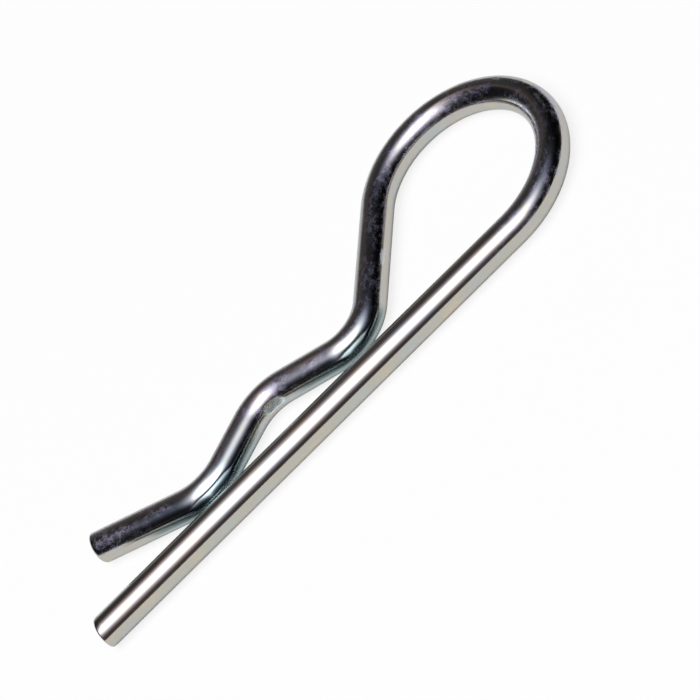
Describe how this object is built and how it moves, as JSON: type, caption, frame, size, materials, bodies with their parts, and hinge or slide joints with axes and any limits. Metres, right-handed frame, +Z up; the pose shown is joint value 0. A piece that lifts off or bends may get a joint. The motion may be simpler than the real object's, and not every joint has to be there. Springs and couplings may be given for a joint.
{
  "type": "hitch pin clip",
  "caption": "Spring wire clip whose straight leg passes through the cross hole of a hitch pin while its wavy leg grips round the outside.",
  "frame": {"origin": "on the axis of the straight leg, opposite the middle of the crown bend, where the axis of the hitch pin crosses it", "axes": "+X along the straight leg from its free tip to the head, +Y from the straight leg to the grip leg, +Z up, square to the plane that the wire lies in"},
  "size_m": [0.0799, 0.028, 0.004],
  "materials": {
    "wire": "bright zinc plate over drawn spring wire, with a faint blue-grey passivate"
  },
  "bodies": {
    "root": {"clip": "wire"}
  },
  "joints": []
}
